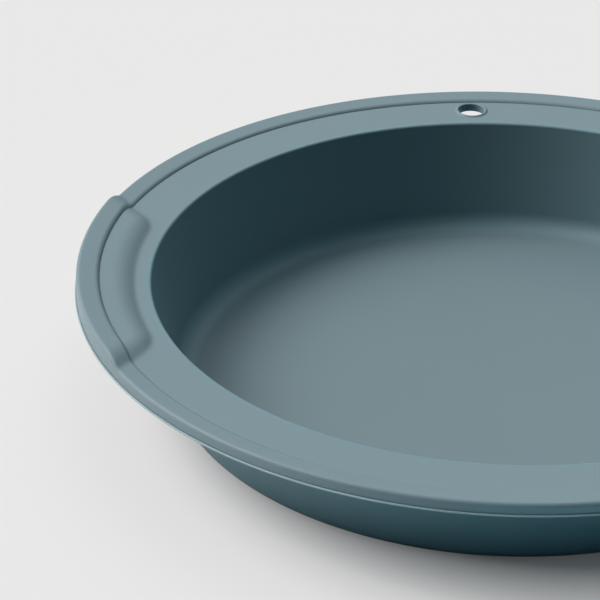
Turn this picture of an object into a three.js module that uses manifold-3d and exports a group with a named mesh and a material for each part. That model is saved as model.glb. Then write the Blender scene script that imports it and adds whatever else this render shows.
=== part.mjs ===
// Round silicone baking dish: a shallow bowl with a wide flange, and a rim moulded over a steel wire hoop.
// Millimetres, +Z up. The origin is the centre of the underside, on the surface that the dish stands on.
// The grips lie on +X and -X, and the hanging hole lies on +Y.
import * as THREE from "three";
import { mergeVertices } from "three/addons/utils/BufferGeometryUtils.js";
import Module from "manifold-3d";

// Bowl
const OPENING_RADIUS = 116.9; // where the flange's top face would meet the inside of the wall
const BOWL_DEPTH = 37.45; // from the flange's top face down to the floor
const WALL_DRAFT = THREE.MathUtils.degToRad(13.5); // lean of the wall from upright
const WALL_THICKNESS = 2.3;
const BASE_THICKNESS = 2;
const FLOOR_FILLET = 7;
const HEEL_FILLET = 5.5; // outside, between the underside and the wall
const MOUTH_ROUND = 1; // edge between the flange and the inside of the wall
const NECK_FILLET = 2.5; // outside, between the wall and the flange's underside

// Flange, from the bowl's mouth out to the rim
const FLANGE_THICKNESS = 2.45;
const FLANGE_MARGIN = 3.6; // bare flange between the mouth's round edge and the foot of a grip pad

// Grip pads: the flange and the rim rise together over a stretch on each side of the dish
const PAD_SLOPE = 8.2; // run of the slope that climbs onto a pad from the bowl's side
const PAD_END_SLOPE = 7; // run of the slope at each end of a pad, square to its foot
const PAD_FLAT = 3.9; // level part of a pad, from the slope to the rim
const PAD_RISE = 2.6; // of the flange
const RIM_RISE = 2.9; // of the rim in a grip
const GRIP_LENGTH = 127; // along the rim's outer face, from foot to foot
const GRIP_SLANT = THREE.MathUtils.degToRad(47); // of a pad's ends from the radius: a pad is shorter inside
const PAD_CORNER_POWER = 3; // how square a pad's inner corners are: 2 is a round
const SLOPE_FOOT_SHARE = 0.2; // share of a slope's run that curves up from its foot

// Rim: a channel of silicone over the wire hoop, seated on the thin lip round the flange's edge
const LIP_DROP = 0.5; // of the lip's underside under the flange's
const LIP_ROOT = 1; // how far in from the flange's edge its underside starts to slope down to the lip
const LIP_SLOPE = 2.9; // run of that slope
const SEAT_RISE = 0.8; // of the seat under the rim's inner wall over the lip
const LIP_THICKNESS = 0.7;
const LIP_LEDGE = 0.5; // of the lip past the rim's outer face
const HOOP_WIRE = 2; // wire diameter
const HOOP_CLEARANCE = 0.3; // between the wire and the channel around it
const RIM_WALL = 2.5; // silicone on each side of the channel
const RIM_ROOF = 1.45; // silicone over the channel
const RIM_FALL = 0.65; // of the rim's top towards the flange
const RIM_BEVEL = 0.7; // run of the slope from the rim's top down to the flange
const RIM_INNER_ROUND = 2.1; // top edge of the rim on the flange's side
const RIM_OUTER_ROUND = 1.3; // top edge of the rim on the outside
const RIM_FIT = 0.3; // between the rim's inner face and the flange's shoulder

// Hanging hole in the flange, in a raised bead
const HOLE_INSET = 6.4; // of its centre from the flange's edge at the rim
const HOLE_DIAMETER = 9.4;
const BEAD_WIDTH = 1.4;
const BEAD_HEIGHT = 0.5;
const BEAD_ROUND = 0.4;

// Fineness of the facets
const SLOPE_STEPS = 8; // bearings across each end of a grip
const PAD_STEPS = 8; // bearings along the level middle of a grip
const PLAIN_STEPS = 24; // bearings from one grip to the other
const ROUND_STEPS = 4; // facets in a round or a fillet
const RADIAL_STEPS = 3; // facets up the inner slope of a pad
const WIRE_SIDES = 8;
const HOLE_SIDES = 32;

// Levels
const floorLevel = BASE_THICKNESS;
const flangeTop = floorLevel + BOWL_DEPTH;
const flangeUnderside = flangeTop - FLANGE_THICKNESS;
const lipUnderside = flangeUnderside - LIP_DROP;
const lipTop = lipUnderside + LIP_THICKNESS;
const seatLevel = lipTop + SEAT_RISE;
const hoopLevel = lipTop + HOOP_WIRE / 2;
const channelTop = lipTop + HOOP_WIRE + HOOP_CLEARANCE;
const rimTop = channelTop + RIM_ROOF;

// Radii, built up from the bowl's mouth outwards
const padFootRadius = OPENING_RADIUS + MOUTH_ROUND + FLANGE_MARGIN;
const padTopRadius = padFootRadius + PAD_SLOPE;
const shoulderRadius = padTopRadius + PAD_FLAT;
const rimInnerRadius = shoulderRadius + RIM_FIT;
const channelInnerRadius = rimInnerRadius + RIM_WALL;
const hoopRadius = channelInnerRadius + HOOP_CLEARANCE + HOOP_WIRE / 2;
const channelOuterRadius = hoopRadius + HOOP_WIRE / 2 + HOOP_CLEARANCE;
const rimOuterRadius = channelOuterRadius + RIM_WALL;
const lipRadius = rimOuterRadius + LIP_LEDGE;
const holeCentreRadius = shoulderRadius - HOLE_INSET;

const wasm = await Module();
wasm.setup();

// A closed geometry as a solid that can be joined and cut.
function toSolid(geometry) {
  const bare = geometry.clone();
  bare.deleteAttribute("normal");
  bare.deleteAttribute("uv");
  const merged = mergeVertices(bare);
  const vertProperties = merged.attributes.position.array;
  const triVerts = new Uint32Array(merged.index.array);
  return new wasm.Manifold(new wasm.Mesh({ numProp: 3, vertProperties, triVerts }));
}

// A solid back as a geometry.
function toGeometry(solid) {
  const mesh = solid.getMesh();
  const geometry = new THREE.BufferGeometry();
  geometry.setAttribute("position", new THREE.BufferAttribute(mesh.vertProperties, mesh.numProp));
  geometry.setIndex(new THREE.BufferAttribute(mesh.triVerts, 1));
  geometry.computeVertexNormals();
  return geometry;
}

// A corner of a section: its place, the radius that rounds it, and whether it rises in the grips.
function corner(radius, level, { round = 0, rises = false } = {}) {
  return { point: new THREE.Vector2(radius, level), round, rises };
}

// The facets of a rounded corner between its neighbours, or the bare corner where it has no round.
function cornerPoints(before, { point, round }, after) {
  if (round === 0) {
    return [point];
  }
  const back = before.point.clone().sub(point).normalize();
  const ahead = after.point.clone().sub(point).normalize();
  const halfAngle = Math.acos(back.dot(ahead)) / 2;
  const bisector = back.clone().add(ahead).normalize();
  const centre = point.clone().addScaledVector(bisector, round / Math.sin(halfAngle));
  const reach = round / Math.tan(halfAngle);
  const start = point.clone().addScaledVector(back, reach).sub(centre);
  const end = point.clone().addScaledVector(ahead, reach).sub(centre);
  const clockwise = start.cross(end) < 0;
  const arc = new THREE.EllipseCurve(centre.x, centre.y, round, round, start.angle(), end.angle(), clockwise);
  return arc.getPoints(ROUND_STEPS);
}

// A section's outline from its corners. A section that stays off the axis is closed on itself.
function section(corners) {
  const closed = corners[0].point.x > 0;
  const outline = corners.flatMap((each, i) => {
    const before = corners.at(i - 1);
    const after = corners[(i + 1) % corners.length];
    return cornerPoints(before, each, after).map((point) => ({ point, rises: each.rises }));
  });
  return closed ? [...outline, outline[0]] : outline;
}

// A section turned about the Y axis.
function turned(outline, steps) {
  return new THREE.LatheGeometry(outline.map(({ point }) => point), steps);
}

// Distance along a circle of this radius from the middle of the nearer grip.
function distanceFromGrip(radius, bearing) {
  return radius * Math.asin(Math.abs(Math.sin(bearing)));
}

// Half of a grip's length at this radius.
function gripHalfLength(radius) {
  return GRIP_LENGTH / 2 - (rimOuterRadius - radius) * Math.tan(GRIP_SLANT);
}

// How far up a pad a place lies, from 0 at its foot to 1 on the level part.
function gripShare(radius, bearing) {
  const overhang = gripHalfLength(radius) - distanceFromGrip(radius, bearing);
  const fromEnd = THREE.MathUtils.clamp((overhang * Math.cos(GRIP_SLANT)) / PAD_END_SLOPE, 0, 1);
  const fromInside = THREE.MathUtils.clamp((radius - padFootRadius) / PAD_SLOPE, 0, 1);
  const left = (1 - fromEnd) ** PAD_CORNER_POWER + (1 - fromInside) ** PAD_CORNER_POWER;
  const climbed = Math.max(0, 1 - left ** (1 / PAD_CORNER_POWER));
  return climbed < SLOPE_FOOT_SHARE
    ? climbed ** 2 / SLOPE_FOOT_SHARE
    : 1 - (1 - climbed) ** 2 / (1 - SLOPE_FOOT_SHARE);
}

// Bearings round the dish, close together across the ends of the grips.
function gripBearings() {
  const endRun = PAD_END_SLOPE / Math.cos(GRIP_SLANT);
  const inner = (gripHalfLength(padFootRadius) - endRun) / padFootRadius;
  const outer = GRIP_LENGTH / 2 / rimOuterRadius;
  const stretches = [
    [-inner, inner, PAD_STEPS],
    [inner, outer, SLOPE_STEPS],
    [outer, Math.PI - outer, PLAIN_STEPS],
    [Math.PI - outer, Math.PI - inner, SLOPE_STEPS],
  ];
  const half = stretches.flatMap(([from, to, steps]) =>
    Array.from({ length: steps }, (_, i) => THREE.MathUtils.lerp(from, to, i / steps)),
  );
  return [...half, ...half.map((bearing) => bearing + Math.PI)];
}

const BEARINGS = gripBearings();

// A section swept round the dish about the Z axis. Its rising corners climb by the rise in the grips.
function sweep(outline, rise = 0) {
  const geometry = turned(outline, BEARINGS.length);
  const position = geometry.attributes.position;
  for (let i = 0; i < position.count; i += 1) {
    const { point, rises } = outline[i % outline.length];
    const bearing = BEARINGS[Math.floor(i / outline.length) % BEARINGS.length];
    const lift = rises ? rise * gripShare(point.x, bearing) : 0;
    position.setXYZ(i, point.x * Math.cos(bearing), point.x * Math.sin(bearing), point.y + lift);
  }
  geometry.computeVertexNormals();
  return geometry;
}

// Turns a section made about the Y axis upright and stands it over the middle of the hanging hole.
function overHole(geometry, level = 0) {
  return geometry.rotateX(Math.PI / 2).translate(0, holeCentreRadius, level);
}

// The bowl, its flange with the grip pads, the lip under the rim, and the hanging hole in its bead.
function dishBody() {
  const innerRadiusAt = (level) => OPENING_RADIUS - (flangeTop - level) * Math.tan(WALL_DRAFT);
  const outerRadiusAt = (level) => innerRadiusAt(level) + WALL_THICKNESS / Math.cos(WALL_DRAFT);
  const padSlope = Array.from({ length: RADIAL_STEPS + 1 }, (_, i) =>
    corner(padTopRadius - (PAD_SLOPE * i) / RADIAL_STEPS, flangeTop, { rises: true }),
  );
  const outline = section([
    corner(0, 0),
    corner(outerRadiusAt(0), 0, { round: HEEL_FILLET }),
    corner(outerRadiusAt(flangeUnderside), flangeUnderside, { round: NECK_FILLET }),
    corner(shoulderRadius - LIP_ROOT, flangeUnderside),
    corner(shoulderRadius - LIP_ROOT + LIP_SLOPE, lipUnderside),
    corner(lipRadius, lipUnderside),
    corner(lipRadius, lipTop),
    corner(channelInnerRadius, lipTop),
    corner(channelInnerRadius, seatLevel),
    corner(shoulderRadius, seatLevel),
    corner(shoulderRadius, flangeTop, { rises: true }),
    ...padSlope,
    corner(OPENING_RADIUS, flangeTop, { round: MOUTH_ROUND }),
    corner(innerRadiusAt(floorLevel), floorLevel, { round: FLOOR_FILLET }),
    corner(0, floorLevel),
  ]);
  const shell = toSolid(sweep(outline, PAD_RISE));
  const beadRadius = HOLE_DIAMETER / 2 + BEAD_WIDTH;
  const beadTop = flangeTop + BEAD_HEIGHT;
  const beadOutline = section([
    corner(0, flangeUnderside),
    corner(beadRadius, flangeUnderside),
    corner(beadRadius, beadTop, { round: BEAD_ROUND }),
    corner(0, beadTop),
  ]);
  const bead = toSolid(overHole(turned(beadOutline, HOLE_SIDES)));
  const cutHeight = 2 * (beadTop - flangeUnderside);
  const cutter = new THREE.CylinderGeometry(HOLE_DIAMETER / 2, HOLE_DIAMETER / 2, cutHeight, HOLE_SIDES);
  const hole = toSolid(overHole(cutter, (beadTop + flangeUnderside) / 2));
  return toGeometry(shell.add(bead).subtract(hole));
}

// The raised rim: an upturned channel over the hoop, which rises with the pads in the grips.
function rimCover() {
  const archRound = HOOP_WIRE / 2 + HOOP_CLEARANCE;
  const arch = new THREE.EllipseCurve(hoopRadius, hoopLevel, archRound, archRound, Math.PI, 0, true);
  const outline = section([
    corner(rimInnerRadius, seatLevel),
    corner(channelInnerRadius, seatLevel),
    ...arch.getPoints(2 * ROUND_STEPS).map(({ x, y }) => corner(x, y)),
    corner(channelOuterRadius, lipTop),
    corner(rimOuterRadius, lipTop),
    corner(rimOuterRadius, rimTop, { round: RIM_OUTER_ROUND, rises: true }),
    corner(rimInnerRadius + RIM_BEVEL, rimTop - RIM_FALL, { round: RIM_INNER_ROUND, rises: true }),
    corner(rimInnerRadius, flangeTop, { rises: true }),
  ]);
  return sweep(outline, RIM_RISE);
}

// The steel wire ring that keeps the rim round. It lies on the lip, inside the rim's channel.
function rimHoop() {
  const wireRadius = HOOP_WIRE / 2 / Math.cos(Math.PI / WIRE_SIDES);
  const outline = section(
    Array.from({ length: WIRE_SIDES }, (_, i) => {
      const turn = ((i + 0.5) * 2 * Math.PI) / WIRE_SIDES;
      return corner(hoopRadius + wireRadius * Math.cos(turn), hoopLevel + wireRadius * Math.sin(turn));
    }),
  );
  return sweep(outline);
}

function piece(name, geometry, look) {
  const mesh = new THREE.Mesh(geometry, new THREE.MeshStandardMaterial(look));
  mesh.name = name;
  return mesh;
}

const SILICONE = { color: 0x55727a, roughness: 0.5, metalness: 0 };
const STEEL_WIRE = { color: 0xb8bcc0, roughness: 0.35, metalness: 1 };

const dish = new THREE.Group();
dish.add(
  piece("dish_body", dishBody(), SILICONE),
  piece("rim_cover", rimCover(), SILICONE),
  piece("rim_hoop", rimHoop(), STEEL_WIRE),
);

export default dish;
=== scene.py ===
"""Looks of a round silicone baking dish, in metres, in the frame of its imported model."""

import logging
import math
from dataclasses import dataclass, field
from enum import Enum
from typing import ClassVar

import bmesh
import bpy
import numpy as np
from mathutils import Matrix, Vector


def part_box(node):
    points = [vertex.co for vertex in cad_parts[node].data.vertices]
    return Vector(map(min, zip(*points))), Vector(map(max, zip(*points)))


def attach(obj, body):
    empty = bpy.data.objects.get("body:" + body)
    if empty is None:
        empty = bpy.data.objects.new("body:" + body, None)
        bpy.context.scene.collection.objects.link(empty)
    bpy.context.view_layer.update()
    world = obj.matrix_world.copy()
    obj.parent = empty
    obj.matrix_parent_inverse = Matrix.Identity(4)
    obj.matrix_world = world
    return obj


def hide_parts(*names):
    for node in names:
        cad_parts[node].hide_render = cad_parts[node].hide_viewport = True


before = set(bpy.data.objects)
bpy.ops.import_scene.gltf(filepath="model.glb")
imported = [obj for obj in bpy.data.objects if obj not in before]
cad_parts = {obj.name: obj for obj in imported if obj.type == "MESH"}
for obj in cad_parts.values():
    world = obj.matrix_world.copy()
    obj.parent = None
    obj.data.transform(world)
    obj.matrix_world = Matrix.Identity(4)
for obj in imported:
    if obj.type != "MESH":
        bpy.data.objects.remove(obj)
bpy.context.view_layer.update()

MM = 0.001
SEAT_LEVEL = 38 * MM
SHOULDER_RADIUS = 133.9 * MM
RIM_TOP = 40.95 * MM
LOG = logging.getLogger("baking_dish")

Piece = bpy.types.Object
Material = bpy.types.Material
Socket = bpy.types.NodeSocket
WorkMesh = bmesh.types.BMesh
Vert = bmesh.types.BMVert
Feed = float | int | tuple | str | Socket


class CadNode(Enum):
    """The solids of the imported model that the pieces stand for."""

    BODY = "dish_body"
    COVER = "rim_cover"
    HOOP = "rim_hoop"

    def box(self) -> tuple[Vector, Vector]:
        """The solid's lowest and highest corner."""
        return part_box(self.value)


class Slot(Enum):
    """The record's material slots."""

    SILICONE = "silicone"
    STEEL_WIRE = "steel_wire"


class FlangeFace(Enum):
    """A face of the flange, by the way that it looks along Z."""

    TOP = 1
    UNDERSIDE = -1


class NodeWork:
    """Adds nodes to one tree and links them."""

    def __init__(self, tree: bpy.types.NodeTree) -> None:
        """Starts work on a tree."""
        self.tree = tree

    @classmethod
    def emptied(cls, owner: Material | bpy.types.World) -> "NodeWork":
        """Starts work on the emptied tree of a material or of the surroundings.

        Args:
            owner: What the tree belongs to.

        Returns:
            The work.
        """
        owner.use_nodes = True
        owner.node_tree.nodes.clear()
        return cls(owner.node_tree)

    def feed(self, socket: Socket, value: Feed) -> None:
        """Links a socket to another, or sets it to a plain value.

        Args:
            socket: The input to feed.
            value: An output socket, or a value of the input's own kind.
        """
        if isinstance(value, Socket):
            self.tree.links.new(value, socket)
        else:
            socket.default_value = value

    def add(
        self,
        kind: str,
        feeds: dict[str | int, Feed] | None = None,
        **settings: str | bool | bpy.types.NodeTree,
    ) -> bpy.types.Node:
        """Adds a node.

        Args:
            kind: The node's type.
            feeds: What its inputs get, by name or place.
            **settings: The node's own settings.

        Returns:
            The node.
        """
        node = self.tree.nodes.new(kind)
        for name, value in settings.items():
            setattr(node, name, value)
        for key, value in (feeds or {}).items():
            self.feed(node.inputs[key], value)
        return node

    def math(self, operation: str, *values: Feed, clamp: bool = False) -> Socket:
        """Works out an operation with a Math node, kept between 0 and 1 if clamped."""
        node = self.add("ShaderNodeMath", dict(enumerate(values)), operation=operation, use_clamp=clamp)
        return node.outputs[0]

    def declare(self, name: str, kind: str, way: str = "INPUT") -> None:
        """Adds a named input or output to a group's tree."""
        self.tree.interface.new_socket(name=name, in_out=way, socket_type=kind)


@dataclass(frozen=True)
class Corner:
    """A corner or point of a section.

    Attributes:
        radius: Distance from the dish's axis.
        level: Height over the surface that the dish stands on.
        rounding: Radius that rounds the corner.
        rise: How far it climbs on the level part of a grip.
        spacing: Distance between points on the straight run that follows.
    """

    radius: float
    level: float
    rounding: float = 0.0
    rise: float = 0.0
    spacing: float = 4 * MM

    def towards(self, other: "Corner", share: float) -> "Corner":
        """A point part of the way to another corner.

        Args:
            other: The corner at the far end.
            share: How far along, from 0 to 1.

        Returns:
            The point, with its rise shared out likewise.
        """
        return Corner(
            radius=self.radius + (other.radius - self.radius) * share,
            level=self.level + (other.level - self.level) * share,
            rise=self.rise + (other.rise - self.rise) * share,
        )


@dataclass(frozen=True)
class Section:
    """A section through the dish on one side of its axis.

    Attributes:
        corners: The corners in order, along the skin.
        closed: Whether the last corner joins the first. Otherwise both ends lie on the axis.
        arc_step: Turn of each facet in a rounded corner.
        support: Distance of the extra point that keeps a straight run flat up to its ends.
        least_facets: Fewest facets in a rounded corner.
        short_run: A straight run of fewer supports than this gets no points.
    """

    corners: tuple[Corner, ...]
    closed: bool
    arc_step: float = math.radians(9)
    support: float = 0.2 * MM
    least_facets: int = 3
    short_run: int = 3

    def arc(self, index: int) -> list[Corner]:
        """The points that round one corner.

        Args:
            index: The corner's place in the section.

        Returns:
            The points, or the bare corner where it has no rounding.
        """
        corner = self.corners[index]
        if corner.rounding == 0:
            return [corner]
        before = self.corners[index - 1]
        after = self.corners[(index + 1) % len(self.corners)]
        point = Vector((corner.radius, corner.level))
        back = (Vector((before.radius, before.level)) - point).normalized()
        ahead = (Vector((after.radius, after.level)) - point).normalized()
        half_angle = back.angle(ahead) / 2
        centre = point + (back + ahead).normalized() * (corner.rounding / math.sin(half_angle))
        reach = corner.rounding / math.tan(half_angle)
        start = point + back * reach - centre
        end = point + ahead * reach - centre
        turn = math.copysign(math.pi - 2 * half_angle, start.x * end.y - start.y * end.x)
        steps = max(self.least_facets, math.ceil(abs(turn) / self.arc_step))
        points = []
        for i in range(steps + 1):
            arm = Matrix.Rotation(turn * i / steps, 2) @ start
            points.append(Corner(*(centre + arm), rise=corner.rise))
        return points

    def run(self, start: Corner, end: Corner, spacing: float) -> list[Corner]:
        """The points on a straight run, without its two ends.

        Args:
            start: Where the run starts.
            end: Where it ends.
            spacing: The most between two points.

        Returns:
            The points in order.
        """
        length = math.hypot(end.radius - start.radius, end.level - start.level)
        if length < self.short_run * self.support:
            return []
        edge = self.support / length
        steps = max(1, math.ceil((length - 2 * self.support) / spacing))
        shares = [edge + (1 - 2 * edge) * i / steps for i in range(steps + 1)]
        return [start.towards(end, share) for share in shares]

    def points(self) -> list[Corner]:
        """All points of the section in order, with the first repeated at the end if it is closed."""
        arcs = [self.arc(i) for i in range(len(self.corners))]
        found = list(arcs[0])
        for i, arc in enumerate(arcs[1:] + arcs[:1]):
            if i + 1 == len(arcs) and not self.closed:
                break
            found += self.run(found[-1], arc[0], self.corners[i].spacing)
            found += arc if i + 1 < len(arcs) else arc[:1]
        return found


@dataclass(frozen=True)
class GripShape:
    """The rule by which the flange and the rim rise in the two grips, on +X and -X.

    Attributes:
        length: Of a grip along the rim's outer face, from foot to foot.
        slant: Of a pad's ends from the radius.
        slope: Run of the slope that climbs onto a pad from the bowl's side.
        end_slope: Run of the slope at each end of a pad, square to its foot.
        foot_share: Share of the slope's run that curves up from its foot.
        corner_power: How square a pad's inner corners are: 2 is a round.
        pad_foot: Radius of the foot of a pad's inner slope.
        rim_radius: Radius of the rim's outer face.
    """

    length: float = 127 * MM
    slant: float = math.radians(47)
    slope: float = 8.2 * MM
    end_slope: float = 7 * MM
    foot_share: float = 0.2
    corner_power: float = 3.0
    pad_foot: float = 121.5 * MM
    rim_radius: float = CadNode.COVER.box()[1].x

    def inputs(self) -> dict[str, float]:
        """The sizes, by the names of the inputs that take them."""
        return {
            "Grip Length": self.length,
            "Grip Slant": self.slant,
            "Slope Run": self.slope,
            "End Run": self.end_slope,
            "Foot Share": self.foot_share,
            "Corner Power": self.corner_power,
            "Pad Foot Radius": self.pad_foot,
            "Rim Radius": self.rim_radius,
        }


class SweptSection:
    """The Geometry Nodes tree that sweeps a section round the axis and lifts it in the grips."""

    INPUTS = {
        "Section": "NodeSocketGeometry",
        "Bearings": "NodeSocketInt",
        "Crowding": "NodeSocketFloat",
        "Finish": "NodeSocketMaterial",
    }
    RISE = "rise"
    JOIN = 0.001 * MM
    CROWDING = 0.35

    def __init__(self, grip: GripShape) -> None:
        """Builds the tree.

        Args:
            grip: The rule of the grips.
        """
        self.grip = grip
        self.tree = bpy.data.node_groups.new("swept_section_with_grips", "GeometryNodeTree")
        self.work = NodeWork(self.tree)
        for name, kind in self.INPUTS.items():
            self.work.declare(name, kind)
        for name in grip.inputs():
            self.work.declare(name, "NodeSocketFloat")
        self.work.declare("Piece", "NodeSocketGeometry", "OUTPUT")
        self.sizes = self.work.add("NodeGroupInput").outputs
        self._wire()

    def _sampled(self, kind: str, value: Socket, index: Socket) -> Socket:
        """A value of a given data type at one point of the section."""
        feeds = {"Geometry": self.sizes["Section"], "Value": value, "Index": index}
        return self.work.add("GeometryNodeSampleIndex", feeds, data_type=kind).outputs[0]

    def _share(self, radius: Socket, bearing: Socket) -> Socket:
        """How far up a pad a place lies, from 0 at its foot to 1 on the level part.

        Args:
            radius: The place's distance from the axis.
            bearing: Its bearing from +X.

        Returns:
            The share.
        """
        calc, sizes = self.work.math, self.sizes
        from_middle = calc("MULTIPLY", radius, calc("ARCSINE", calc("ABSOLUTE", calc("SINE", bearing))))
        inwards = calc("SUBTRACT", sizes["Rim Radius"], radius)
        lost = calc("MULTIPLY", inwards, calc("TANGENT", sizes["Grip Slant"]))
        half_length = calc("SUBTRACT", calc("MULTIPLY", sizes["Grip Length"], 0.5), lost)
        overhang = calc("SUBTRACT", half_length, from_middle)
        square_on = calc("MULTIPLY", overhang, calc("COSINE", sizes["Grip Slant"]))
        from_end = calc("DIVIDE", square_on, sizes["End Run"], clamp=True)
        past_foot = calc("SUBTRACT", radius, sizes["Pad Foot Radius"])
        from_inside = calc("DIVIDE", past_foot, sizes["Slope Run"], clamp=True)
        power = sizes["Corner Power"]
        end_left = calc("POWER", calc("SUBTRACT", 1.0, from_end), power)
        inside_left = calc("POWER", calc("SUBTRACT", 1.0, from_inside), power)
        left = calc("POWER", calc("ADD", end_left, inside_left), calc("DIVIDE", 1.0, power))
        climbed = calc("SUBTRACT", 1.0, left, clamp=True)
        foot = sizes["Foot Share"]
        hollow = calc("DIVIDE", calc("POWER", climbed, 2.0), foot)
        short = calc("POWER", calc("SUBTRACT", 1.0, climbed), 2.0)
        crown = calc("SUBTRACT", 1.0, calc("DIVIDE", short, calc("SUBTRACT", 1.0, foot)))
        on_crown = calc("GREATER_THAN", climbed, foot)
        return calc("ADD", hollow, calc("MULTIPLY", on_crown, calc("SUBTRACT", crown, hollow)))

    def _wire(self) -> None:
        """Adds and links the tree's nodes."""
        work, calc, sizes = self.work, self.work.math, self.sizes
        section = work.add("GeometryNodeAttributeDomainSize", {"Geometry": sizes["Section"]})
        count = section.outputs["Point Count"]
        rows = calc("ADD", sizes["Bearings"], 1.0)
        grid = work.add("GeometryNodeMeshGrid", {"Vertices X": rows, "Vertices Y": count})
        index = work.add("GeometryNodeInputIndex").outputs[0]
        row = calc("FLOOR", calc("DIVIDE", index, count))
        place = calc("SUBTRACT", index, calc("MULTIPLY", row, count))
        position = self._sampled("FLOAT_VECTOR", work.add("GeometryNodeInputPosition").outputs[0], place)
        named = work.add("GeometryNodeInputNamedAttribute", {"Name": self.RISE}, data_type="FLOAT")
        rise = self._sampled("FLOAT", named.outputs[0], place)
        skin = work.add("ShaderNodeSeparateXYZ", {0: position}).outputs
        even = calc("MULTIPLY", calc("DIVIDE", row, sizes["Bearings"]), math.tau)
        half_crowding = calc("MULTIPLY", sizes["Crowding"], 0.5)
        pull = calc("MULTIPLY", calc("SINE", calc("MULTIPLY", even, 2.0)), half_crowding)
        bearing = calc("SUBTRACT", even, pull)
        lift = calc("MULTIPLY", rise, self._share(skin["X"], bearing))
        feeds = {
            "X": calc("MULTIPLY", skin["X"], calc("COSINE", bearing)),
            "Y": calc("MULTIPLY", skin["X"], calc("SINE", bearing)),
            "Z": calc("ADD", skin["Z"], lift),
        }
        moved = work.add("ShaderNodeCombineXYZ", feeds).outputs[0]
        sheet = {"Geometry": grid.outputs["Mesh"], "Position": moved}
        placed = work.add("GeometryNodeSetPosition", sheet).outputs[0]
        joined = work.add("GeometryNodeMergeByDistance", {"Geometry": placed, "Distance": self.JOIN})
        smooth = work.add("GeometryNodeSetShadeSmooth", {"Geometry": joined.outputs[0]})
        real = work.add("GeometryNodeRealizeInstances", {"Geometry": smooth.outputs[0]}).outputs[0]
        dressed = work.add("GeometryNodeSetMaterial", {"Geometry": real, "Material": sizes["Finish"]})
        work.add("NodeGroupOutput", {0: dressed.outputs[0]})

    def sweep(self, name: str, section: Section, finish: Material, bearings: int) -> Piece:
        """Makes a piece from its section.

        Args:
            name: The piece's name.
            section: Its section.
            finish: Its material.
            bearings: Steps round the dish.

        Returns:
            The piece, as a plain closed mesh.
        """
        points = section.points()
        line = bpy.data.meshes.new(f"{name}_section")
        line.from_pydata([(p.radius, 0, p.level) for p in points], [], [])
        rises = line.attributes.new(self.RISE, "FLOAT", "POINT")
        rises.data.foreach_set("value", [p.rise for p in points])
        piece = bpy.data.objects.new(name, line)
        bpy.context.scene.collection.objects.link(piece)
        modifier = piece.modifiers.new("sweep", "NODES")
        modifier.node_group = self.tree
        values = {"Bearings": bearings, "Crowding": self.CROWDING, "Finish": finish}
        values.update(self.grip.inputs())
        for item in self.tree.interface.items_tree:
            if item.name in values:
                modifier[item.identifier] = values[item.name]
        evaluated = piece.evaluated_get(bpy.context.evaluated_depsgraph_get())
        mesh = bpy.data.meshes.new_from_object(evaluated)
        mesh.name = name
        while mesh.materials[0] is None:
            mesh.materials.pop(index=0)
        piece.modifiers.clear()
        piece.data = mesh
        bpy.data.meshes.remove(line)
        work = bmesh.new()
        work.from_mesh(mesh)
        face_out(work, mesh)
        return piece


def face_out(work: WorkMesh, mesh: bpy.types.Mesh) -> None:
    """Turns all faces outwards and ends the work on a mesh.

    Args:
        work: The faces.
        mesh: The mesh that takes them.
    """
    bmesh.ops.recalc_face_normals(work, faces=work.faces)
    work.to_mesh(mesh)
    work.free()


@dataclass(frozen=True)
class Skin:
    """The level of one face of the flange at each radius.

    Attributes:
        face: Which face it is.
        radii: Radii in rising order.
        levels: The levels at those radii.
    """

    face: FlangeFace
    radii: tuple[float, ...]
    levels: tuple[float, ...]

    def level(self, x: float, y: float) -> float:
        """The face's level at a place."""
        return float(np.interp(math.hypot(x, y), self.radii, self.levels))


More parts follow.
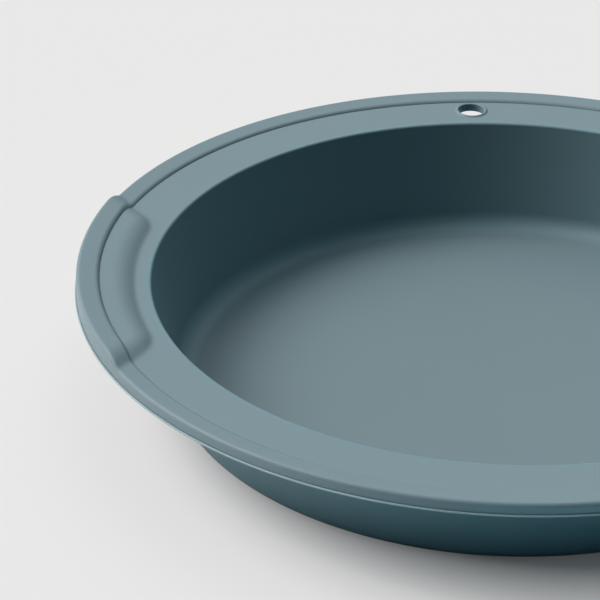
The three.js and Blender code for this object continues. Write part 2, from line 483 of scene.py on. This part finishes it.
@dataclass(frozen=True)
class HangingHole:
    """The hanging hole through the flange, with the soft bead round its top edge.

    Attributes:
        distance: Of its middle from the dish's axis, along +Y.
        radius: Of the hole.
        bead_width: From the hole's wall to the bead's foot.
        bead_height: Of the bead over the flange.
        lead: Width of the bead's round edge into the hole.
        under_round: Rounding of the hole's lower edge.
        margin: Of the flange that is meshed anew past the bead or the lower edge.
        foot_ring: Width of the level ring round the bead's foot.
        facing: Least that a face of the flange looks up or down.
        sides: Points in each ring.
        bead_steps: Rings up each side of the bead.
        under_steps: Rings in the rounding of the lower edge.
    """

    distance: float = 127.2 * MM
    radius: float = 4.7 * MM
    bead_width: float = 1.4 * MM
    bead_height: float = 0.5 * MM
    lead: float = 0.45 * MM
    under_round: float = 0.25 * MM
    margin: float = 1.3 * MM
    foot_ring: float = 0.1 * MM
    facing: float = 0.3
    sides: int = 96
    bead_steps: int = 8
    under_steps: int = 6

    def _bead(self) -> list[tuple[float, float]]:
        """The bead's section, from its foot into the hole.

        Returns:
            Distances from the hole's middle, and heights over the flange.
        """
        foot = self.radius + self.bead_width
        crown = self.radius + self.lead
        outside = [(foot + self.foot_ring, 0.0)]
        for i in range(self.bead_steps + 1):
            share = i / self.bead_steps
            climb = (1 - math.cos(math.pi * share)) / 2
            outside.append((foot + (crown - foot) * share, self.bead_height * climb))
        inside = []
        for i in range(1, self.bead_steps + 1):
            turn = math.pi / 2 * i / self.bead_steps
            drop = self.lead * (1 - math.cos(turn))
            inside.append((crown - self.lead * math.sin(turn), self.bead_height - drop))
        return outside + inside

    def _ring(self, work: WorkMesh, reach: float, skin: Skin, over: float) -> list[Vert]:
        """A ring of points that follows a face of the flange.

        Args:
            work: The mesh.
            reach: The ring's radius.
            skin: The face.
            over: Height over the face.

        Returns:
            The points in order of their bearing from the hole.
        """
        ring = []
        for i in range(self.sides):
            turn = math.tau * (i + 0.5) / self.sides - math.pi
            x = reach * math.cos(turn)
            y = self.distance + reach * math.sin(turn)
            ring.append(work.verts.new((x, y, skin.level(x, y) + over)))
        return ring

    def _opened(self, work: WorkMesh, skin: Skin, reach: float) -> list[Vert]:
        """Takes the faces of the flange away round the hole.

        Args:
            work: The mesh.
            skin: The face of the flange.
            reach: How far from the hole's middle the faces go.

        Returns:
            The points of the edge that is left, in order of their bearing from the hole.
        """
        doomed = []
        for face in work.faces:
            middle = face.calc_center_median()
            radius = math.hypot(middle.x, middle.y)
            near = middle.y > 0 and abs(middle.x) < reach and abs(radius - self.distance) < reach
            level = face.normal.z * skin.face.value > self.facing
            if near and level and skin.radii[0] < radius < skin.radii[-1]:
                doomed.append(face)
        edge = {vert for face in doomed for vert in face.verts}
        bmesh.ops.delete(work, geom=doomed, context="FACES")
        return sorted((vert for vert in edge if vert.is_valid), key=self._bearing)

    def _bearing(self, vert: Vert) -> float:
        """A point's bearing from the hole's middle."""
        return math.atan2(vert.co.y - self.distance, vert.co.x)

    def _stitch(self, work: WorkMesh, outer: list[Vert], inner: list[Vert]) -> None:
        """Joins two rings of points with triangles.

        Args:
            work: The mesh.
            outer: One ring, in order of bearing.
            inner: The other.
        """
        angles = [[self._bearing(vert) for vert in ring] for ring in (outer, inner)]
        counts = len(outer), len(inner)
        at = [0, 0]
        while at[0] < counts[0] or at[1] < counts[1]:
            coming = [
                angles[k][(at[k] + 1) % counts[k]] + math.tau * ((at[k] + 1) // counts[k])
                if at[k] < counts[k]
                else math.inf
                for k in (0, 1)
            ]
            here = outer[at[0] % counts[0]], inner[at[1] % counts[1]]
            if coming[0] <= coming[1]:
                at[0] += 1
                work.faces.new((here[0], outer[at[0] % counts[0]], here[1]))
            else:
                at[1] += 1
                work.faces.new((here[0], inner[at[1] % counts[1]], here[1]))

    def cut(self, mesh: bpy.types.Mesh, top: Skin, underside: Skin) -> None:
        """Cuts the hole and raises its bead.

        Args:
            mesh: The swept dish.
            top: The flange's top face.
            underside: The flange's underside.
        """
        work = bmesh.new()
        work.from_mesh(mesh)
        top_edge = self._opened(work, top, self.radius + self.bead_width + self.margin)
        low_edge = self._opened(work, underside, self.radius + self.under_round + self.margin)
        rings = [self._ring(work, reach, top, over) for reach, over in self._bead()]
        for i in range(self.under_steps + 1):
            turn = math.pi / 2 * i / self.under_steps
            reach = self.radius + self.under_round * (1 - math.cos(turn))
            over = self.under_round * (1 - math.sin(turn))
            rings.append(self._ring(work, reach, underside, over))
        for upper, lower in zip(rings, rings[1:]):
            for i in range(self.sides):
                j = (i + 1) % self.sides
                work.faces.new((upper[i], upper[j], lower[j], lower[i]))
        self._stitch(work, top_edge, rings[0])
        self._stitch(work, low_edge, rings[-1])
        for face in work.faces:
            face.smooth = True
        face_out(work, mesh)


class SubAssembly:
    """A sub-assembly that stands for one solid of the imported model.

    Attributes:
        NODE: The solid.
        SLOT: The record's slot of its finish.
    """

    NODE: ClassVar[CadNode]
    SLOT: ClassVar[Slot]

    def dress(self, piece: Piece) -> None:
        """Makes the finished piece stand for its solid, on the dish's one body, and logs it.

        Args:
            piece: The piece.
        """
        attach(piece, "root")
        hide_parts(self.NODE.value)
        LOG.info("%s: %d faces", piece.name, len(piece.data.polygons))


@dataclass
class DishShell(SubAssembly):
    """The silicone moulding: bowl, flange with its pads, lip, and the hanging hole.

    Attributes:
        mouth_radius: Where the flange's top face would meet the inside of the wall.
        depth: From the flange's top face down to the floor.
        draft: Lean of the wall from upright.
        wall: Thickness of the wall.
        base: Thickness of the floor.
        floor_fillet: Inside, between floor and wall.
        heel_fillet: Outside, between underside and wall.
        mouth_round: Edge between flange and wall.
        neck_fillet: Outside, between wall and flange.
        flange: Thickness of the flange.
        pad_rise: Rise of the flange on a pad.
        lip_round: Edges of the lip.
        lip_radius: Of the lip's edge.
        lip_top: Level of the lip's top face.
        lip: Thickness of the lip.
        shoulder: Radius at which the flange meets the rim.
        lip_root: Radius at which the flange's underside starts to slope down to the lip.
        lip_slope: Run of that slope.
        seat: Level of the seat under the rim's inner wall.
        seat_radius: Of the seat's outer edge.
        hole: The hanging hole.
        floor_spacing: Between points on the floor and the underside.
        under_spacing: Between points on the flange's underside.
        pad_spacing: Between points on the flange's top face, where the pads rise.
        level_slack: How far a point of the flange may lie off its plane, and lies off the mouth.
        edge_slack: Of the flange that is left out towards the rim.
        bearings: Steps round the dish.
    """

    NODE = CadNode.BODY
    SLOT = Slot.SILICONE
    mouth_radius: float = 116.9 * MM
    depth: float = 37.45 * MM
    draft: float = math.radians(13.5)
    wall: float = 2.3 * MM
    base: float = 2 * MM
    floor_fillet: float = 7 * MM
    heel_fillet: float = 5.5 * MM
    mouth_round: float = 1 * MM
    neck_fillet: float = 2.5 * MM
    flange: float = 2.45 * MM
    pad_rise: float = 2.6 * MM
    lip_round: float = 0.33 * MM
    lip_radius: float = CadNode.BODY.box()[1].x
    lip_top: float = CadNode.COVER.box()[0].z
    lip: float = 0.7 * MM
    shoulder: float = SHOULDER_RADIUS
    lip_root: float = 132.6 * MM
    lip_slope: float = 2.9 * MM
    seat: float = SEAT_LEVEL
    seat_radius: float = 136.4 * MM
    hole: HangingHole = field(default_factory=HangingHole)
    floor_spacing: float = 12 * MM
    under_spacing: float = 2 * MM
    pad_spacing: float = 0.6 * MM
    level_slack: float = 0.5 * MM
    edge_slack: float = 0.1 * MM
    bearings: int = 560

    @property
    def flange_top(self) -> float:
        """Level of the flange's top face."""
        return self.base + self.depth

    @property
    def flange_underside(self) -> float:
        """Level of the flange's underside."""
        return self.flange_top - self.flange

    def inner_radius(self, level: float) -> float:
        """Radius of the wall's inner face at a level."""
        return self.mouth_radius - (self.flange_top - level) * math.tan(self.draft)

    def outer_radius(self, level: float) -> float:
        """Radius of the wall's outer face at a level."""
        return self.inner_radius(level) + self.wall / math.cos(self.draft)

    def section(self) -> Section:
        """The moulding's section, from the middle of the underside round to the middle of the floor."""
        top, under = self.flange_top, self.flange_underside
        lip_under = self.lip_top - self.lip
        coarse = self.floor_spacing
        return Section(
            corners=(
                Corner(0, 0, spacing=coarse),
                Corner(self.outer_radius(0), 0, self.heel_fillet),
                Corner(self.outer_radius(under), under, self.neck_fillet, spacing=self.under_spacing),
                Corner(self.lip_root, under),
                Corner(self.lip_root + self.lip_slope, lip_under),
                Corner(self.lip_radius, lip_under, self.lip_round),
                Corner(self.lip_radius, self.lip_top, self.lip_round),
                Corner(self.seat_radius, self.lip_top),
                Corner(self.seat_radius, self.seat),
                Corner(self.shoulder, self.seat),
                Corner(self.shoulder, top, rise=self.pad_rise, spacing=self.pad_spacing),
                Corner(self.mouth_radius, top, self.mouth_round, rise=self.pad_rise),
                Corner(self.inner_radius(self.base), self.base, self.floor_fillet, spacing=coarse),
                Corner(0, self.base),
            ),
            closed=False,
        )

    def skin(self, section: Section, face: FlangeFace) -> Skin:
        """One face of the flange between the wall and the rim.

        Args:
            section: The moulding's section.
            face: Which face.

        Returns:
            Its levels.
        """
        plane = self.flange_top if face is FlangeFace.TOP else self.flange_underside
        edge = self.shoulder if face is FlangeFace.TOP else self.lip_root
        found = sorted(
            (point.radius, point.level)
            for point in section.points()
            if abs(point.level - plane) < self.level_slack
            and self.mouth_radius + self.level_slack < point.radius < edge - self.edge_slack
        )
        radii, levels = zip(*found)
        return Skin(face, radii, levels)

    def build(self, tree: SweptSection, finish: Material) -> Piece:
        """Makes the moulding.

        Args:
            tree: The tree that sweeps its section.
            finish: Its material.

        Returns:
            The piece.
        """
        section = self.section()
        piece = tree.sweep("dish_shell", section, finish, self.bearings)
        skins = [self.skin(section, face) for face in (FlangeFace.TOP, FlangeFace.UNDERSIDE)]
        self.hole.cut(piece.data, *skins)
        return piece


@dataclass
class RimBand(SubAssembly):
    """The raised silicone band over the wire hoop, seated on the lip.

    Attributes:
        inner_radius: Of the face against the flange.
        outer_radius: Of the outer face.
        foot: Level of the outer wall's foot on the lip.
        seat: Level of the inner wall's foot.
        top: Level of the band's top, away from the grips.
        rise: Of the top in a grip.
        fall: Of the top towards the flange.
        bevel: Run of the slope from the top down to the flange.
        bevel_foot: Level of that slope's foot, away from the grips.
        inner_round: Top edge on the flange's side.
        outer_round: Top edge on the outside.
        clearance: Between the wire and the channel round it.
        channel_round: Rounding of the channel's roof, as a share of half its width.
        spacing: Between points on the outside and the top.
        bearings: Steps round the dish.
    """

    NODE = CadNode.COVER
    SLOT = Slot.SILICONE
    inner_radius: float = SHOULDER_RADIUS
    outer_radius: float = CadNode.COVER.box()[1].x
    foot: float = CadNode.COVER.box()[0].z
    seat: float = SEAT_LEVEL
    top: float = RIM_TOP
    rise: float = CadNode.COVER.box()[1].z - RIM_TOP
    fall: float = 0.65 * MM
    bevel: float = 0.7 * MM
    bevel_foot: float = 39.45 * MM
    inner_round: float = 2.1 * MM
    outer_round: float = 1.3 * MM
    clearance: float = 0.3 * MM
    channel_round: float = 0.95
    spacing: float = 0.8 * MM
    bearings: int = 720

    def section(self, wire: "HoopWire") -> Section:
        """The band's closed section, with the channel for the wire.

        Args:
            wire: The hoop.

        Returns:
            The section.
        """
        half = wire.thickness / 2 + self.clearance
        edge = self.inner_radius + self.bevel
        side = {"rise": self.rise, "spacing": self.spacing}
        roof = wire.level + half
        rounding = half * self.channel_round
        return Section(
            corners=(
                Corner(self.inner_radius, self.seat),
                Corner(wire.radius - half, self.seat),
                Corner(wire.radius - half, roof, rounding),
                Corner(wire.radius + half, roof, rounding),
                Corner(wire.radius + half, self.foot),
                Corner(self.outer_radius, self.foot, spacing=self.spacing),
                Corner(self.outer_radius, self.top, self.outer_round, **side),
                Corner(edge, self.top - self.fall, self.inner_round, **side),
                Corner(self.inner_radius, self.bevel_foot, **side),
            ),
            closed=True,
        )

    def build(self, tree: SweptSection, wire: "HoopWire", finish: Material) -> Piece:
        """Makes the band over the wire inside it."""
        return tree.sweep("rim_band", self.section(wire), finish, self.bearings)


@dataclass
class HoopWire(SubAssembly):
    """The steel wire ring that keeps the rim round.

    Attributes:
        thickness: Diameter of the wire.
        radius: Of the ring, to the middle of the wire.
        level: Of the middle of the wire.
        sides: Corners of the wire's section.
        bearings: Steps round the dish.
    """

    NODE = CadNode.HOOP
    SLOT = Slot.STEEL_WIRE
    thickness: float = CadNode.HOOP.box()[1].z - CadNode.HOOP.box()[0].z
    radius: float = CadNode.HOOP.box()[1].x - thickness / 2
    level: float = (CadNode.HOOP.box()[1].z + CadNode.HOOP.box()[0].z) / 2
    sides: int = 20
    bearings: int = 360

    def section(self) -> Section:
        """The wire's round section."""
        corners = []
        for i in range(self.sides):
            turn = math.tau * i / self.sides
            arm = self.thickness / 2
            corners.append(Corner(self.radius + arm * math.cos(turn), self.level + arm * math.sin(turn)))
        return Section(tuple(corners), closed=True, support=self.thickness)

    def build(self, tree: SweptSection, finish: Material) -> Piece:
        """Makes the ring."""
        return tree.sweep("hoop_wire", self.section(), finish, self.bearings)


class SurfaceGrain:
    """The shader node group of a surface's fine grain and slow blotches."""

    def __init__(self) -> None:
        """Builds the group."""
        self.tree = bpy.data.node_groups.new("surface_grain", "ShaderNodeTree")
        work = NodeWork(self.tree)
        work.declare("Place", "NodeSocketVector")
        work.declare("Grain Size", "NodeSocketFloat")
        work.declare("Blotch Size", "NodeSocketFloat")
        work.declare("Grain", "NodeSocketFloat", "OUTPUT")
        work.declare("Blotch", "NodeSocketFloat", "OUTPUT")
        given = work.add("NodeGroupInput").outputs
        grain = self._noise(work, given["Place"], given["Grain Size"], detail=3.0)
        blotch = self._noise(work, given["Place"], given["Blotch Size"], detail=2.0)
        work.add("NodeGroupOutput", {"Grain": grain, "Blotch": blotch})

    @staticmethod
    def _noise(work: NodeWork, place: Socket, size: Socket, detail: float) -> Socket:
        """A noise of a given size and number of octaves, about 0.5 in the mean."""
        feeds = {"Vector": place, "Scale": work.math("DIVIDE", 1.0, size), "Detail": detail}
        return work.add("ShaderNodeTexNoise", feeds).outputs[0]

    def place(self, work: NodeWork, grain_size: float, blotch_size: float) -> bpy.types.NodeOutputs:
        """Puts the group into a material, on Object coordinates.

        Args:
            work: The material's tree.
            grain_size: Of the fine grain.
            blotch_size: Of the slow blotches.

        Returns:
            The group's outputs.
        """
        place = work.add("ShaderNodeTexCoord").outputs["Object"]
        group = work.add("ShaderNodeGroup", node_tree=self.tree)
        for name, value in (("Place", place), ("Grain Size", grain_size), ("Blotch Size", blotch_size)):
            work.feed(group.inputs[name], value)
        return group.outputs


@dataclass(frozen=True)
class PaintedRadialLight:
    """Light or shade painted into the silicone's colour along the radius.

    Attributes:
        start: Radius at which the painted light or shade starts.
        end: Radius from which it is in full, further out or further in.
        share: What the colour is multiplied by there.
    """

    start: float
    end: float
    share: tuple[float, float, float, float]

    def shaded(self, work: NodeWork, colour: Socket) -> Socket:
        """Paints light or shade into a colour along the radius.

        Args:
            work: The material's tree.
            colour: The colour elsewhere.

        Returns:
            The colour with the painted light or shade.
        """
        place = work.add("ShaderNodeTexCoord").outputs["Object"]
        flat = work.add("ShaderNodeVectorMath", {0: place, 1: (1.0, 1.0, 0.0)}, operation="MULTIPLY")
        radius = work.add("ShaderNodeVectorMath", {0: flat.outputs[0]}, operation="LENGTH")
        reach = work.math("SUBTRACT", radius.outputs["Value"], self.start)
        reached = work.math("DIVIDE", reach, self.end - self.start, clamp=True)
        return blend(work, reached, colour, self.share, kind="MULTIPLY")


def blend(work: NodeWork, share: Feed, first: Feed, second: Feed, kind: str = "MIX") -> Socket:
    """Mixes two colours.

    Args:
        work: The tree.
        share: Of the second colour, from 0 to 1.
        first: One colour.
        second: The other.
        kind: How the second meets the first.

    Returns:
        The mixed colour.
    """
    mix = work.add("ShaderNodeMix", {"Factor": share}, data_type="RGBA", blend_type=kind)
    colours = {socket.name: socket for socket in mix.inputs if socket.type == "RGBA"}
    work.feed(colours["A"], first)
    work.feed(colours["B"], second)
    return next(socket for socket in mix.outputs if socket.type == "RGBA")


@dataclass(frozen=True)
class Finish:
    """A finish with a fine grain, with colour and gloss that vary slowly, and with light and shade
    painted into its colour along the radius.

    Attributes:
        name: The material's name.
        dark: Colour in the darker blotches.
        light: Colour in the lighter blotches.
        gloss: Roughness from the smoothest to the roughest blotch.
        grain_size: Of the fine grain.
        grain_depth: Of the fine grain.
        blotch_size: Of the slow blotches.
        metallic: 1 for a metal.
        ior: Refractive index of the surface.
        painted_shading: Light and shade painted into the colour along the radius.
        blotch_span: Values of the blotches between which the gloss changes.
    """

    name: str
    dark: tuple[float, float, float, float]
    light: tuple[float, float, float, float]
    gloss: tuple[float, float]
    grain_size: float
    grain_depth: float
    blotch_size: float
    metallic: float = 0.0
    ior: float = 1.45
    painted_shading: tuple[PaintedRadialLight, ...] = ()
    blotch_span: tuple[float, float] = (0.3, 0.7)

    def material(self, grain: SurfaceGrain) -> Material:
        """Makes the material.

        Args:
            grain: The shared group of grain and blotches.

        Returns:
            The material.
        """
        made = bpy.data.materials.new(self.name)
        work = NodeWork.emptied(made)
        surface = grain.place(work, self.grain_size, self.blotch_size)
        colour = blend(work, surface["Blotch"], self.dark, self.light)
        # The painted light and shade along the radius go into the colour here.
        for shade in self.painted_shading:
            colour = shade.shaded(work, colour)
        span = dict(zip(("From Min", "From Max", "To Min", "To Max"), self.blotch_span + self.gloss))
        rough = work.add("ShaderNodeMapRange", {"Value": surface["Blotch"], **span})
        depth = {"Strength": 1.0, "Distance": self.grain_depth}
        bump = work.add("ShaderNodeBump", {"Height": surface["Grain"], **depth})
        feeds = {
            "Base Color": colour,
            "Roughness": rough.outputs[0],
            "Metallic": self.metallic,
            "IOR": self.ior,
            "Normal": bump.outputs[0],
        }
        shader = work.add("ShaderNodeBsdfPrincipled", feeds)
        work.add("ShaderNodeOutputMaterial", {"Surface": shader.outputs[0]})
        return made


SILICONE = Finish(
    name="satin_silicone",
    dark=(0.131, 0.199, 0.225, 1),
    light=(0.140, 0.213, 0.240, 1),
    gloss=(0.52, 0.58),
    grain_size=0.35 * MM,
    grain_depth=0.004 * MM,
    blotch_size=40 * MM,
    ior=1.43,
    painted_shading=(
        # Painted highlight: the lip's edge, past the rim's outer face, is painted much lighter, as if it
        # caught the light.
        PaintedRadialLight(start=141.55 * MM, end=141.8 * MM, share=(1.83, 1.71, 1.68, 1)),
        # Painted shade tint: the bowl inward of the mouth is painted a deeper teal, standing in for the
        # teal bounce light on its shaded walls.
        PaintedRadialLight(start=119.5 * MM, end=117.5 * MM, share=(0.94, 1.07, 1.09, 1)),
        # Painted shade: together with the tint above, the bowl's floor is painted about 15% darker, as
        # shade in the hollow.
        PaintedRadialLight(start=107 * MM, end=101 * MM, share=(0.91, 0.80, 0.78, 1)),
    ),
)
STEEL = Finish(
    name="drawn_steel_wire",
    dark=(0.48, 0.49, 0.50, 1),
    light=(0.58, 0.58, 0.58, 1),
    gloss=(0.28, 0.4),
    grain_size=0.2 * MM,
    grain_depth=0.004 * MM,
    blotch_size=6 * MM,
    metallic=1.0,
)


@dataclass(frozen=True)
class PhotoCamera:
    """The camera at the photograph's viewing angle.

    Attributes:
        lens: Focal length, in millimetres.
        sensor: Width of the sensor, in millimetres.
        aside: Of the camera along its own right, from the dish's axis.
        back: Of the camera from the axis, along the ground.
        height: Over the ground.
        pitch: Down from the horizon.
        roll: About the line of sight.
        turn: Of the dish under the camera.
    """

    lens: float = 202.09
    sensor: float = 36.0
    aside: float = -67.78 * MM
    back: float = 976.97 * MM
    height: float = 569.16 * MM
    pitch: float = math.radians(28.89)
    roll: float = math.radians(0.8)
    turn: float = math.radians(2.93)

    def build(self) -> None:
        """Makes the camera and gives it to the scene."""
        data = bpy.data.cameras.new("photo_camera")
        data.sensor_width = self.sensor
        data.lens = self.lens
        camera = bpy.data.objects.new("photo_camera", data)
        bpy.context.scene.collection.objects.link(camera)
        stand = Matrix.Translation((self.aside, -self.back, self.height))
        place = Matrix.Rotation(-self.turn, 4, "Z") @ stand
        tilt = Matrix.Rotation(math.pi / 2 - self.pitch, 4, "X") @ Matrix.Rotation(self.roll, 4, "Z")
        camera.matrix_world = place @ tilt
        bpy.context.scene.camera = camera


WARM = (1.09, 1.0, 0.975)
COOL = (0.7, 1.16, 1.3)


@dataclass(frozen=True)
class SkyGlow:
    """Soft light from one part of the surroundings.

    Attributes:
        bearing: Of its middle from +X, about +Z, in degrees.
        elevation: Of its middle over the ground, in degrees.
        spread: Angle in degrees from its middle to its edge, where it has faded out.
        strength: At its middle.
        tint: Its colour.
    """

    bearing: float
    elevation: float
    spread: float
    strength: float
    tint: tuple[float, float, float] = (1.0, 1.0, 1.0)

    def wire(self, work: NodeWork, way: Socket) -> Socket:
        """Adds its nodes to the surroundings.

        Args:
            work: The tree of the surroundings.
            way: The direction that is looked along.

        Returns:
            The light from that direction, as a colour.
        """
        bearing, elevation = math.radians(self.bearing), math.radians(self.elevation)
        level = math.cos(elevation)
        middle = (level * math.cos(bearing), level * math.sin(bearing), math.sin(elevation))
        along = work.add("ShaderNodeVectorMath", {0: way, 1: middle}, operation="DOT_PRODUCT")
        edge = math.cos(math.radians(self.spread))
        inside = work.math("SUBTRACT", along.outputs["Value"], edge)
        share = work.math("DIVIDE", inside, 1 - edge, clamp=True)
        colour = tuple(self.strength * part for part in self.tint)
        scaled = work.add("ShaderNodeVectorMath", {0: colour, "Scale": share}, operation="SCALE")
        return scaled.outputs[0]


@dataclass(frozen=True)
class Studio:
    """A plain pale floor and soft light.

    Attributes:
        reach: Radius of the floor.
        pale_tone: Of the floor out of the shadow, and of the surroundings, as the camera sees them.
        lit_tone: Of the part of the floor's look that takes the shadow.
        bounce_tones: Colours of the floor as it lights the dish, to the left and to the right.
        bounce_span: Where the bounce starts and stops changing, along X.
        fill_limits: Least and most of the floor's look that takes no shadow.
        fill_foot: Radius at which the fill starts to grow, in the middle of the front.
        fill_lean: How much farther in it starts for each metre to the left.
        fill_run: Distance over which the fill would grow from none to all.
        glows: The soft lights.
    """

    reach: float = 9.0
    pale_tone: float = 0.8
    lit_tone: float = 0.635
    bounce_tones: tuple[tuple[float, float, float, float], ...] = (
        (0.92, 0.92, 0.92, 1.0),
        (0.42, 0.70, 0.79, 1.0),
    )
    bounce_span: tuple[float, float] = (-0.13, -0.03)
    fill_limits: tuple[float, float] = (0.07, 0.6)
    fill_foot: float = 0.107
    fill_lean: float = 0.19
    fill_run: float = 0.0556
    glows: tuple[SkyGlow, ...] = (
        SkyGlow(bearing=164, elevation=47.3, spread=20, strength=18.5, tint=WARM),
        SkyGlow(bearing=150, elevation=12, spread=36, strength=1.6),
        SkyGlow(bearing=90, elevation=50, spread=36, strength=1.25),
        SkyGlow(bearing=60, elevation=12, spread=36, strength=0.36),
        SkyGlow(bearing=0, elevation=12, spread=36, strength=0.15, tint=COOL),
        SkyGlow(bearing=60, elevation=64, spread=36, strength=0.7),
        SkyGlow(bearing=0, elevation=64, spread=36, strength=0.19, tint=COOL),
        SkyGlow(bearing=0, elevation=90, spread=36, strength=0.4, tint=COOL),
    )

    def floor(self) -> None:
        """Makes the floor and keeps it out of the part."""
        mesh = bpy.data.meshes.new("floor")
        work = bmesh.new()
        bmesh.ops.create_circle(work, cap_ends=True, segments=96, radius=self.reach)
        work.to_mesh(mesh)
        work.free()
        floor = bpy.data.objects.new("floor", mesh)
        bpy.context.scene.collection.objects.link(floor)
        mesh.materials.append(self.floor_finish())

    def floor_finish(self) -> Material:
        """Makes the floor's material. For the camera its shadow is lightened with a plain pale tone.

        Returns:
            The material.
        """
        made = bpy.data.materials.new("pale_floor")
        work = NodeWork.emptied(made)
        matt = {"Roughness": 0.7, "Specular IOR Level": 0.2}
        place = work.add("ShaderNodeTexCoord").outputs["Object"]
        aside = work.add("ShaderNodeSeparateXYZ", {0: place}).outputs["X"]
        radius = work.add("ShaderNodeVectorMath", {0: place}, operation="LENGTH").outputs["Value"]
        start = work.math("MULTIPLY_ADD", aside, self.fill_lean, self.fill_foot)
        grown = work.math("DIVIDE", work.math("SUBTRACT", radius, start), self.fill_run)
        least, most = self.fill_limits
        fill = work.math("MAXIMUM", work.math("MINIMUM", grown, most), least)
        span = {"From Min": self.bounce_span[0], "From Max": self.bounce_span[1]}
        across = work.add("ShaderNodeMapRange", {"Value": aside, **span}).outputs[0]
        tone = blend(work, across, *self.bounce_tones)
        lit = work.add("ShaderNodeBsdfPrincipled", {"Base Color": grey(self.lit_tone), **matt})
        bounce = work.add("ShaderNodeBsdfPrincipled", {"Base Color": tone, **matt})
        pale = work.add("ShaderNodeEmission", {"Color": grey(self.pale_tone)})
        seen = work.add("ShaderNodeMixShader", {0: fill, 1: lit.outputs[0], 2: pale.outputs[0]})
        camera = work.add("ShaderNodeLightPath").outputs["Is Camera Ray"]
        mixed = work.add("ShaderNodeMixShader", {0: camera, 1: bounce.outputs[0], 2: seen.outputs[0]})
        work.add("ShaderNodeOutputMaterial", {"Surface": mixed.outputs[0]})
        return made

    def surroundings(self) -> None:
        """Lights the scene with the soft lights, and shows the camera a pale backdrop."""
        world = bpy.data.worlds.new("studio")
        bpy.context.scene.world = world
        work = NodeWork.emptied(world)
        way = work.add("ShaderNodeTexCoord").outputs["Generated"]
        light = self.glows[0].wire(work, way)
        for glow in self.glows[1:]:
            both = {0: light, 1: glow.wire(work, way)}
            light = work.add("ShaderNodeVectorMath", both, operation="ADD").outputs[0]
        soft = work.add("ShaderNodeBackground", {"Color": light})
        pale = work.add("ShaderNodeBackground", {"Color": grey(self.pale_tone)})
        seen = work.add("ShaderNodeLightPath").outputs["Is Camera Ray"]
        mixed = work.add("ShaderNodeMixShader", {0: seen, 1: soft.outputs[0], 2: pale.outputs[0]})
        work.add("ShaderNodeOutputWorld", {"Surface": mixed.outputs[0]})

    def build(self) -> None:
        """Makes the floor and the surroundings, and sets the plain view."""
        self.floor()
        self.surroundings()
        bpy.context.scene.view_settings.view_transform = "Standard"


def grey(tone: float) -> tuple[float, float, float, float]:
    """A plain grey of a given tone."""
    return tone, tone, tone, 1.0


def main() -> None:
    """Builds the dish and the studio round it."""
    logging.basicConfig(level=logging.INFO, format="%(name)s: %(message)s")
    PhotoCamera().build()
    grain = SurfaceGrain()
    silicone = SILICONE.material(grain)
    steel = STEEL.material(grain)
    tree = SweptSection(GripShape())
    wire = HoopWire()
    shell = DishShell()
    band = RimBand()
    wire.dress(wire.build(tree, steel))
    shell.dress(shell.build(tree, silicone))
    band.dress(band.build(tree, wire, silicone))
    Studio().build()


if __name__ == "__main__":
    main()
